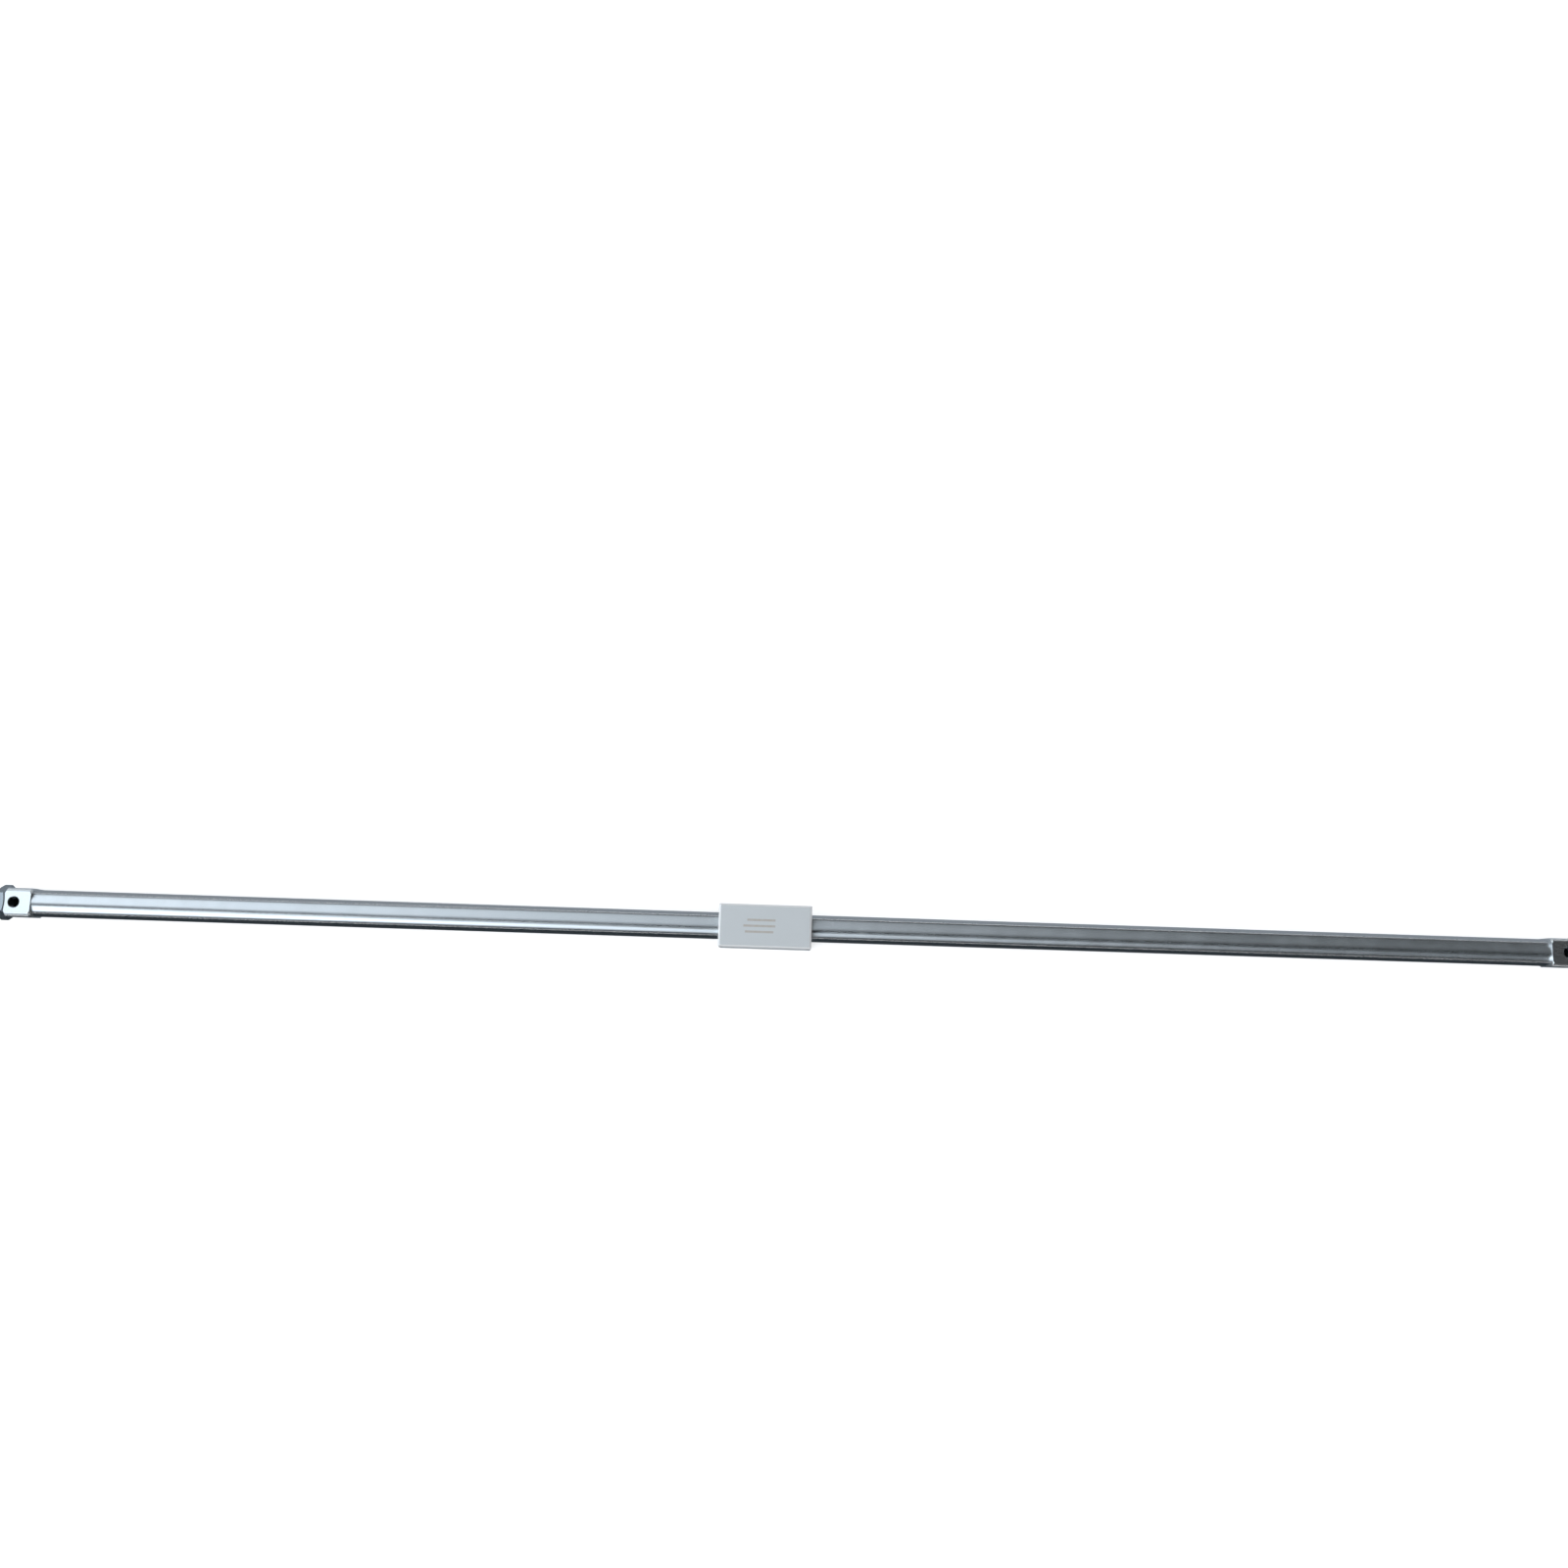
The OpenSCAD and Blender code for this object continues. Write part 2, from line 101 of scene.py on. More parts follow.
# Places of the ports, the threaded ends and the workpiece holes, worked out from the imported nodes
COVER_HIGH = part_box("right_head_cover")[1]
NUT_LOW, NUT_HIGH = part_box("right_mounting_nut")
BLOCK_LOW, BLOCK_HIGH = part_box("slide_block")
BLOCK_MIDDLE = (BLOCK_LOW + BLOCK_HIGH) / 2
PORT_R, PORT_BEFORE_NUT = 4.3 * MM, 8 * MM
PORT_HIGH = COVER_HIGH.z - 0.75 * MM
PORT_LOW = COVER_HIGH.z - 8.4 * MM
NOSE_R, NOSE_CHAMFER, NOSE_OVERLAP = 10 * MM, 1 * MM, 0.1 * MM
NOSE_START, NOSE_END = NUT_HIGH.x + 0.05 * MM, COVER_HIGH.x
HOLE_R, HOLE_X, HOLE_Y = 1.65 * MM, 25 * MM, 12.5 * MM
HOLE_LOW = BLOCK_LOW.z + 0.5 * MM
HOLE_HIGH = BLOCK_LOW.z + 5.9 * MM


def port_x(side):
    """Where a port's axis crosses the tube's."""
    return (NUT_LOW.x - PORT_BEFORE_NUT) * (-1 if side == "left" else 1)


# Camera: where it stands, how far it leans towards +Y, how the tube lies across the view, and its lens
CAMERA_PLACE = Vector((-10.1, -61.9, 1153.1)) * MM
CAMERA_LEAN = math.radians(9.134)
CAMERA_ROLL = math.radians(1.875)
CAMERA_LENS = 31.08
CAMERA_SENSOR = 36


# ---- Node helpers ----

def add_node(tree, kind, inputs=None, **settings):
    """Adds a node. Its inputs are given by name or number, as values or as sockets to link from."""
    node = tree.nodes.new(kind)
    for key, value in settings.items():
        setattr(node, key, value)
    for key, value in (inputs or {}).items():
        if isinstance(value, bpy.types.NodeSocket):
            tree.links.new(value, node.inputs[key])
        else:
            node.inputs[key].default_value = value
    return node


def maths(tree, operation, *values, clamp=False):
    """A Math node's output."""
    node = add_node(tree, "ShaderNodeMath", dict(enumerate(values)), operation=operation, use_clamp=clamp)
    return node.outputs[0]


def blend_colour(tree, factor, first, second, how="MIX"):
    """A colour Mix node's output."""
    node = add_node(tree, "ShaderNodeMix", data_type="RGBA", blend_type=how)
    for key, value in ((0, factor), (6, first), (7, second)):
        if isinstance(value, bpy.types.NodeSocket):
            tree.links.new(value, node.inputs[key])
        else:
            node.inputs[key].default_value = value
    return node.outputs[2]


def ramp(tree, factor, stops, interpolation="EASE"):
    """A colour ramp's output. Each stop is a place from 0 to 1 and a colour or a grey level."""
    node = add_node(tree, "ShaderNodeValToRGB", {0: factor})
    node.color_ramp.interpolation = interpolation
    elements = node.color_ramp.elements
    while len(elements) < len(stops):
        elements.new(0.5)
    for element, (place, colour) in zip(elements, stops):
        element.position = place
        element.color = rgba(colour)
    return node.outputs[0]


def rgba(colour):
    """A grey level or a colour as red, green, blue and alpha."""
    if isinstance(colour, (int, float)):
        colour = (colour,) * 3
    return (*colour, 1.0)


def remap(tree, value, low, high, to_low, to_high):
    """A clamped Map Range node's output."""
    node = add_node(tree, "ShaderNodeMapRange", {0: value, 1: low, 2: high, 3: to_low, 4: to_high})
    return node.outputs[0]


# ---- Camera, light and floor ----

def set_camera():
    """The camera above the tube, leaning a little."""
    data = bpy.data.cameras.new("camera")
    data.lens = CAMERA_LENS
    data.sensor_width = CAMERA_SENSOR
    data.clip_start = 0.01
    camera = bpy.data.objects.new("camera", data)
    camera.matrix_world = (
        Matrix.Translation(CAMERA_PLACE) @ Matrix.Rotation(CAMERA_LEAN, 4, "X")
        @ Matrix.Rotation(CAMERA_ROLL, 4, "Z")
    )
    bpy.context.scene.collection.objects.link(camera)
    bpy.context.scene.camera = camera


# What polished metal mirrors, by the direction along the tube, from -X to +X
ROOM_ALONG = (
    (-0.75, (1.7, 1.9, 2.05)), (-0.45, (1.42, 1.62, 1.8)), (-0.15, (0.76, 0.86, 0.95)),
    (-0.03, (0.47, 0.51, 0.53)), (0.06, (0.23, 0.248, 0.25)), (0.22, (0.046, 0.048, 0.047)),
    (0.5, (0.012, 0.013, 0.013)),
)
# The share of that light by the angle from straight up towards -Y, in degrees, without the window's strip
ROOM_ACROSS = (
    (-100, 0.30), (-80, 0.35), (-68, 1.0), (-12, 0.98), (-5, 0.8), (3, 0.03), (60, 0.08), (75, 0.2),
    (100, 0.12),
)
# Where the strip lies by that angle, and how strong it is by the direction along the tube
STRIP_ACROSS = ((19, 0), (28, 1), (64, 1), (78, 0))
STRIP_ALONG = ((-0.2, 1.8), (-0.065, 1.85), (0.083, 0.9), (0.225, 0.7), (0.324, 0.58), (0.45, 0.42))
# How many degrees the dark line and the strip turn towards -Y, by the direction along the tube, and how much
# of the pattern turns with them, by the angle
TURN_ALONG = ((-0.5, 0), (-0.34, 19), (-0.2, 16), (0.1, 15), (0.2, 24))
TURN_ACROSS = ((-40, 0), (-5, 1), (48, 1), (66, 0))
# The even light that all but mirrors get, and its tint
LIGHT_LEVEL = 0.52
LIGHT_TINT = (0.96, 0.98, 1.0)


def circle_stops(stops):
    """Ramp stops of a full circle, from stops in degrees."""
    return [(0.5 + degrees / 360, level) for degrees, level in stops]


def line_stops(stops):
    """Ramp stops of a direction's X, which goes from -1 to 1."""
    return [(0.5 + place / 2, level) for place, level in stops]


def set_world():
    """White past the floor, an even light, and for mirrors a room with its window at the -X end."""
    world = bpy.data.worlds.new("studio")
    bpy.context.scene.world = world
    world.use_nodes = True
    world.cycles.sampling_method = "NONE"
    tree = world.node_tree
    tree.nodes.clear()
    direction = add_node(tree, "ShaderNodeTexCoord").outputs["Generated"]
    part = add_node(tree, "ShaderNodeSeparateXYZ", {0: direction})
    along = maths(tree, "MULTIPLY_ADD", part.outputs["X"], 0.5, 0.5)
    towards = maths(tree, "MULTIPLY", part.outputs["Y"], -1.0)
    angle = maths(tree, "ARCTAN2", towards, part.outputs["Z"])
    straight = maths(tree, "MULTIPLY_ADD", angle, 0.5 / math.pi, 0.5)
    turn_stops = line_stops((place, degrees / 360) for place, degrees in TURN_ALONG)
    turn = ramp(tree, along, turn_stops, "LINEAR")
    turned = ramp(tree, straight, circle_stops(TURN_ACROSS), "LINEAR")
    across = maths(tree, "SUBTRACT", straight, maths(tree, "MULTIPLY", turn, turned))
    strip = ramp(tree, across, circle_stops(STRIP_ACROSS), "LINEAR")
    strength = ramp(tree, along, line_stops(STRIP_ALONG), "LINEAR")
    rest = ramp(tree, across, circle_stops(ROOM_ACROSS), "LINEAR")
    share = maths(tree, "MULTIPLY_ADD", strip, strength, rest)
    room = blend_colour(tree, 1.0, ramp(tree, along, line_stops(ROOM_ALONG)), share, "MULTIPLY")
    path = add_node(tree, "ShaderNodeLightPath").outputs
    level = tuple(LIGHT_LEVEL * tint for tint in LIGHT_TINT)
    lit = blend_colour(tree, path["Is Glossy Ray"], rgba(level), room)
    seen = maths(tree, "MAXIMUM", path["Is Camera Ray"], path["Is Transmission Ray"])
    shown = blend_colour(tree, seen, lit, rgba(1.0))
    background = add_node(tree, "ShaderNodeBackground", {"Color": shown})
    output = add_node(tree, "ShaderNodeOutputWorld")
    tree.links.new(background.outputs[0], output.inputs["Surface"])


# Soft sunlight: name, strength, softness in radians, and where it comes from
LAMPS = (
    ("window", 0.85, 0.6, (-0.9, -0.75, 0.9)),
    ("fill", 0.5, 1.2, (0.3, 0.6, 1.0)),
)


def set_lamps():
    """A soft window light from the left and the front, and a softer fill. Mirrors show neither."""
    for name, strength, softness, source in LAMPS:
        data = bpy.data.lights.new(name, "SUN")
        data.energy = strength
        data.angle = softness
        data.color = LIGHT_TINT
        lamp = bpy.data.objects.new(name, data)
        lamp.rotation_euler = Vector(source).to_track_quat("Z", "Y").to_euler()
        lamp.visible_glossy = False
        bpy.context.scene.collection.objects.link(lamp)


# The floor, and how much it shines by itself where it is seen
FLOOR_SIZE = (12.0, 12.0)
FLOOR_COLOUR = (0.80, 0.81, 0.82)
FLOOR_LIFT = 0.62
# The bench top: its height above the floor, and its colours on the -Y side and on the +Y side of the tube
BENCH_SIZE = (1.9, 0.9)
BENCH_LIFT = 0.1 * MM
BENCH_CHANGE = 20 * MM
BENCH_NEAR = (0.04, 0.05, 0.058)
BENCH_FAR = (0.32, 0.36, 0.40)


def flat_stage(name, size, height, material):
    """A level sheet that belongs to the studio."""
    bm = bmesh.new()
    bmesh.ops.create_grid(bm, x_segments=1, y_segments=1, size=0.5)
    bmesh.ops.scale(bm, verts=bm.verts, vec=(size[0], size[1], 1))
    bmesh.ops.translate(bm, verts=bm.verts, vec=(0, 0, height))
    mesh = bpy.data.meshes.new(name)
    bm.to_mesh(mesh)
    bm.free()
    mesh.materials.append(material)
    obj = bpy.data.objects.new(name, mesh)
    bpy.context.scene.collection.objects.link(obj)
    return obj


def set_floor():
    """A white floor that keeps the shadows, and the darker bench top that the metal mirrors."""
    white = bpy.data.materials.new("floor_paper")
    white.use_nodes = True
    white.cycles.emission_sampling = "NONE"
    tree = white.node_tree
    tree.nodes.clear()
    path = add_node(tree, "ShaderNodeLightPath").outputs
    seen = maths(tree, "MAXIMUM", path["Is Camera Ray"], path["Is Glossy Ray"])
    seen = maths(tree, "MAXIMUM", seen, path["Is Transmission Ray"])
    paper = add_node(tree, "ShaderNodeBsdfDiffuse", {"Color": rgba(FLOOR_COLOUR)})
    lift = add_node(tree, "ShaderNodeEmission", {"Strength": maths(tree, "MULTIPLY", seen, FLOOR_LIFT)})
    both = add_node(tree, "ShaderNodeAddShader", {0: paper.outputs[0], 1: lift.outputs[0]})
    output = add_node(tree, "ShaderNodeOutputMaterial", {"Surface": both.outputs[0]})
    output.is_active_output = True
    flat_stage("floor", FLOOR_SIZE, CAD_LOW.z, white)

    dark = bpy.data.materials.new("bench_top")
    dark.use_nodes = True
    dark.cycles.emission_sampling = "NONE"
    tree = dark.node_tree
    tree.nodes.clear()
    place = add_node(tree, "ShaderNodeTexCoord").outputs["Object"]
    part = add_node(tree, "ShaderNodeSeparateXYZ", {0: place})
    depth = remap(tree, part.outputs["Y"], -BENCH_CHANGE, BENCH_CHANGE, 0.0, 1.0)
    colour = blend_colour(tree, depth, rgba(BENCH_NEAR), rgba(BENCH_FAR))
    top = add_node(tree, "ShaderNodeEmission", {"Color": colour})
    add_node(tree, "ShaderNodeOutputMaterial", {"Surface": top.outputs[0]})
    bench = flat_stage("bench", BENCH_SIZE, CAD_LOW.z + BENCH_LIFT, dark)
    for ray in ("camera", "diffuse", "transmission", "shadow"):
        setattr(bench, "visible_" + ray, False)


# ---- Shared surface effects ----

def new_group(name, inputs, outputs):
    """A shader node group. Its inputs are (name, kind, value) and its outputs (name, kind)."""
    group = bpy.data.node_groups.new(name, "ShaderNodeTree")
    for label, kind, value in inputs:
        socket = group.interface.new_socket(label, in_out="INPUT", socket_type="NodeSocket" + kind)
        socket.default_value = value
    for label, kind in outputs:
        group.interface.new_socket(label, in_out="OUTPUT", socket_type="NodeSocket" + kind)
    given = group.nodes.new("NodeGroupInput").outputs
    result = group.nodes.new("NodeGroupOutput").inputs
    return group, given, result


def use_group(tree, group, **values):
    """Places a group in a material. Underscores stand for spaces in its inputs' names."""
    node = tree.nodes.new("ShaderNodeGroup")
    node.node_tree = group
    for key, value in values.items():
        socket = node.inputs[key.replace("_", " ")]
        if isinstance(value, bpy.types.NodeSocket):
            tree.links.new(value, socket)
        else:
            socket.default_value = value
    return node.outputs


def noise(tree, vector, scale, detail=3.0, rough=0.55):
    """A noise texture's value."""
    inputs = {"Vector": vector, "Scale": scale, "Detail": detail, "Roughness": rough}
    return add_node(tree, "ShaderNodeTexNoise", inputs).outputs["Fac"]


def make_edge_group():
    """Where an outer edge is near: 1 on the edge, broken up a little, and 0 away from it."""
    group, given, result = new_group(
        "edge_wear", [("Width", "Float", 0.0004), ("Breakup", "Float", 0.5)], [("Mask", "Float")]
    )
    true_normal = add_node(group, "ShaderNodeNewGeometry").outputs["Normal"]
    rounded = add_node(group, "ShaderNodeBevel", {"Radius": given["Width"]}, samples=6).outputs[0]
    facing = add_node(group, "ShaderNodeVectorMath", {0: true_normal, 1: rounded}, operation="DOT_PRODUCT")
    edge = remap(group, facing.outputs["Value"], 0.995, 0.90, 0.0, 1.0)
    place = add_node(group, "ShaderNodeTexCoord").outputs["Object"]
    patches = remap(group, noise(group, place, 450.0), 0.38, 0.62, 0.0, 1.0)
    kept = maths(group, "MULTIPLY_ADD", maths(group, "SUBTRACT", patches, 1.0), given["Breakup"], 1.0)
    group.links.new(maths(group, "MULTIPLY", edge, kept, clamp=True), result["Mask"])
    return group


def make_grain_group():
    """Fine even grain, and slow cloudy change, both around a middle of 0.5."""
    group, given, result = new_group(
        "fine_grain", [("Grain Size", "Float", 0.0003)], [("Grain", "Float"), ("Cloud", "Float")]
    )
    place = add_node(group, "ShaderNodeTexCoord").outputs["Object"]
    scale = maths(group, "DIVIDE", 1.0, given["Grain Size"])
    group.links.new(noise(group, place, scale, 2.0), result["Grain"])
    group.links.new(noise(group, place, 28.0, 4.0, 0.6), result["Cloud"])
    return group


def make_turned_group():
    """Tool marks of a lathe: rings along the axis on round walls, and rings about it on end faces."""
    group, given, result = new_group(
        "turned_marks", [("Spacing", "Float", 0.0002)], [("Around", "Float"), ("Face", "Float")]
    )
    place = add_node(group, "ShaderNodeTexCoord").outputs["Object"]
    part = add_node(group, "ShaderNodeSeparateXYZ", {0: place})
    flat = add_node(group, "ShaderNodeCombineXYZ", {1: part.outputs["Y"], 2: part.outputs["Z"]})
    radius = add_node(group, "ShaderNodeVectorMath", {0: flat.outputs[0]}, operation="LENGTH")
    density = maths(group, "DIVIDE", 1.0, given["Spacing"])
    for value, label in ((part.outputs["X"], "Around"), (radius.outputs["Value"], "Face")):
        lines = add_node(
            group, "ShaderNodeTexNoise", {"W": value, "Scale": density, "Detail": 2.0}, noise_dimensions="1D"
        )
        group.links.new(lines.outputs["Fac"], result[label])
    return group


def make_handling_group():
    """Marks of handling: sparse fine scratches, soft smudges, and dust in a few places."""
    group, given, result = new_group(
        "handling", [("Scratch Scale", "Float", 60.0)],
        [("Scratches", "Float"), ("Smudges", "Float"), ("Dust", "Float")],
    )
    place = add_node(group, "ShaderNodeTexCoord").outputs["Object"]
    marks = []
    for turn, stretch in ((0.4, 22.0), (-0.9, 30.0)):
        inputs = {"Vector": place, "Rotation": (turn, 0.3, turn), "Scale": (1, stretch, stretch)}
        turned = add_node(group, "ShaderNodeMapping", inputs).outputs[0]
        field = noise(group, turned, given["Scratch Scale"], 1.0)
        thin = maths(group, "ABSOLUTE", maths(group, "SUBTRACT", field, 0.5))
        marks.append(remap(group, thin, 0.0, 0.006, 1.0, 0.0))
    thick = maths(group, "MAXIMUM", *marks)
    where = remap(group, noise(group, place, 35.0), 0.52, 0.66, 0.0, 1.0)
    group.links.new(maths(group, "MULTIPLY", thick, where), result["Scratches"])
    smudges = remap(group, noise(group, place, 55.0, 5.0, 0.65), 0.42, 0.7, 0.0, 1.0)
    group.links.new(smudges, result["Smudges"])
    specks = remap(group, noise(group, place, 2400.0, 1.0), 0.70, 0.76, 0.0, 1.0)
    group.links.new(maths(group, "MULTIPLY", specks, smudges), result["Dust"])
    return group


EDGES = make_edge_group()
GRAIN = make_grain_group()
TURNED = make_turned_group()
HANDLING = make_handling_group()


# ---- Finishes ----

DUST = (0.6, 0.58, 0.55)
TUBE_DUST = (0.62, 0.6, 0.57)
# Colour of the painted shade inside the air ports' bores
PORT_SHADE = (0.09, 0.1, 0.11)
# Near-white colour of the slide block's chamfers: bare cut metal, lightened further as a painted highlight
CHAMFER_METAL_AND_HIGHLIGHT = (0.97, 0.98, 0.99)
INK = (0.38, 0.25, 0.13)
# How far the painted shade in a port reaches past its bore, and how thick the printed layer is taken to be
PORT_SHADE_BLUR = 0.15 * MM
PRINT_LAYER = 0.1 * MM
# How far the marks of a drawn profile are stretched along X
DRAWN_STRETCH = 0.012


def new_finish(name):
    """A material with only its Principled shader and its output."""
    material = bpy.data.materials.new(name)
    material.use_nodes = True
    shader = material.node_tree.nodes["Principled BSDF"]
    return material, material.node_tree, shader


def feed(tree, shader, **values):
    """Sets the shader's inputs, or links sockets to them. Underscores stand for spaces."""
    for key, value in values.items():
        socket = shader.inputs[key.replace("_", " ")]
        if isinstance(value, bpy.types.NodeSocket):
            tree.links.new(value, socket)
        else:
            socket.default_value = value


def bumped(tree, height, distance, strength=1.0):
    """A Bump node's normal. Distance is the depth of the marks, in metres."""
    inputs = {"Height": height, "Distance": distance, "Strength": strength}
    return add_node(tree, "ShaderNodeBump", inputs).outputs[0]


def paint_port_shade(tree, colour):
    """Paints shade into the air ports' bores, which open towards +Z near both ends: their walls are darkened
    in colour as painted shade.
    """
    place = add_node(tree, "ShaderNodeTexCoord").outputs["Object"]
    part = add_node(tree, "ShaderNodeSeparateXYZ", {0: place}).outputs
    along = maths(tree, "SUBTRACT", maths(tree, "ABSOLUTE", part["X"]), port_x("right"))
    flat = add_node(tree, "ShaderNodeCombineXYZ", {0: along, 1: part["Y"]}).outputs[0]
    distance = add_node(tree, "ShaderNodeVectorMath", {0: flat}, operation="LENGTH").outputs["Value"]
    # Painted shade: the walls within the port's radius are darkened in colour
    inside = remap(tree, distance, PORT_R, PORT_R + PORT_SHADE_BLUR, 1.0, 0.0)
    upper = maths(tree, "GREATER_THAN", part["Z"], 0.0)
    return blend_colour(tree, maths(tree, "MULTIPLY", inside, upper), colour, rgba(PORT_SHADE))


def block_print_and_highlight(tree, colour):
    """Chamfers lightened in colour, partly as bare cut metal and partly as a painted highlight, and plain
    bars printed on the slide block's top.
    """
    coordinates = add_node(tree, "ShaderNodeTexCoord").outputs
    facing = add_node(tree, "ShaderNodeVectorMath", {0: coordinates["Normal"]}, operation="ABSOLUTE")
    slopes = add_node(tree, "ShaderNodeSeparateXYZ", {0: facing.outputs[0]}).outputs
    square = maths(tree, "MAXIMUM", maths(tree, "MAXIMUM", slopes["X"], slopes["Y"]), slopes["Z"])
    # Chamfers are found by their slope and lightened: partly bare cut metal, partly a painted highlight of
    # the light they catch
    cut = remap(tree, square, 0.96, 0.90, 0.0, 1.0)
    colour = blend_colour(tree, cut, colour, rgba(CHAMFER_METAL_AND_HIGHLIGHT))
    part = add_node(tree, "ShaderNodeSeparateXYZ", {0: coordinates["Object"]}).outputs
    printed = 0.0
    for along, across, half in PRINTED_BARS:
        beside = maths(tree, "ABSOLUTE", maths(tree, "SUBTRACT", part["X"], BLOCK_MIDDLE.x + along * MM))
        beside = maths(tree, "SUBTRACT", beside, half * MM)
        above = maths(tree, "ABSOLUTE", maths(tree, "SUBTRACT", part["Y"], BLOCK_MIDDLE.y + across * MM))
        outside = maths(tree, "MAXIMUM", beside, maths(tree, "SUBTRACT", above, BAR_HALF_WIDTH))
        printed = maths(tree, "MAXIMUM", printed, remap(tree, outside, -BAR_BLUR, BAR_BLUR, 1.0, 0.0))
    worn = remap(tree, noise(tree, coordinates["Object"], 320.0), 0.35, 0.65, 0.34, 0.44)
    on_top = maths(tree, "GREATER_THAN", part["Z"], BLOCK_HIGH.z - PRINT_LAYER)
    shown = maths(tree, "MULTIPLY", maths(tree, "MULTIPLY", printed, on_top), worn)
    return blend_colour(tree, shown, colour, rgba(INK))


def worked_finish(
    name, colour, worn_colour, metallic, roughness, marks, grain_size=0.3 * MM, depth=0.004 * MM,
    edge_width=0.25 * MM, spread=0.06, haze=0.08, extra=None,
):
    """A finish for a machined or moulded piece. Its marks are around, face, both, drawn or grain."""
    material, tree, shader = new_finish(name)
    grain = use_group(tree, GRAIN, Grain_Size=grain_size)
    handled = use_group(tree, HANDLING)
    edge = use_group(tree, EDGES, Width=edge_width)["Mask"]
    turned = use_group(tree, TURNED)
    if marks == "both":
        height = maths(tree, "ADD", turned["Around"], turned["Face"])
    elif marks == "grain":
        height = grain["Grain"]
    elif marks == "drawn":
        place = add_node(tree, "ShaderNodeTexCoord").outputs["Object"]
        stretched = add_node(tree, "ShaderNodeMapping", {"Vector": place, "Scale": (DRAWN_STRETCH, 1, 1)})
        lines = noise(tree, stretched.outputs[0], 1 / grain_size, 2.0)
        height = maths(tree, "MULTIPLY_ADD", grain["Grain"], 0.5, lines)
    else:
        height = turned[marks.capitalize()]
    dark = tuple(channel * (1 - spread) for channel in colour)
    light = tuple(min(1.0, channel * (1 + spread)) for channel in colour)
    body = blend_colour(tree, grain["Cloud"], rgba(dark), rgba(light))
    body = blend_colour(tree, maths(tree, "MULTIPLY", edge, 0.8), body, rgba(worn_colour))
    body = blend_colour(tree, maths(tree, "MULTIPLY", handled["Dust"], 0.25), body, rgba(DUST))
    if extra:
        body = extra(tree, body)
    rough = maths(tree, "MULTIPLY_ADD", grain["Grain"], haze, roughness - haze / 2)
    rough = maths(tree, "MULTIPLY_ADD", handled["Smudges"], haze, rough)
    rough = maths(tree, "MULTIPLY_ADD", handled["Scratches"], 0.1, rough)
    scored = maths(tree, "MULTIPLY_ADD", handled["Scratches"], -0.6, height)
    normal = bumped(tree, scored, depth)
    feed(tree, shader, Base_Color=body, Metallic=metallic, Roughness=rough, Normal=normal)
    return material


def tube_finish():
    """Stainless tube, ground and polished: marks run round it, so mirrored light spreads along it."""
    material, tree, shader = new_finish("polished_stainless")
    turned = use_group(tree, TURNED, Spacing=0.12 * MM)
    grain = use_group(tree, GRAIN, Grain_Size=0.5 * MM)
    handled = use_group(tree, HANDLING, Scratch_Scale=25.0)
    colour = blend_colour(tree, grain["Cloud"], rgba((0.64, 0.655, 0.67)), rgba((0.70, 0.71, 0.72)))
    colour = blend_colour(tree, maths(tree, "MULTIPLY", handled["Dust"], 0.2), colour, rgba(TUBE_DUST))
    rough = maths(tree, "MULTIPLY_ADD", handled["Smudges"], 0.03, 0.225)
    rough = maths(tree, "MULTIPLY_ADD", turned["Around"], 0.03, rough)
    height = maths(tree, "MULTIPLY_ADD", handled["Scratches"], -0.8, turned["Around"])
    way_round = add_node(tree, "ShaderNodeTangent", direction_type="RADIAL", axis="X").outputs[0]
    feed(
        tree, shader, Base_Color=colour, Metallic=1.0, Roughness=rough, Anisotropic=1.0,
        Anisotropic_Rotation=0.25, Tangent=way_round, Normal=bumped(tree, height, 0.0003 * MM),
    )
    return material


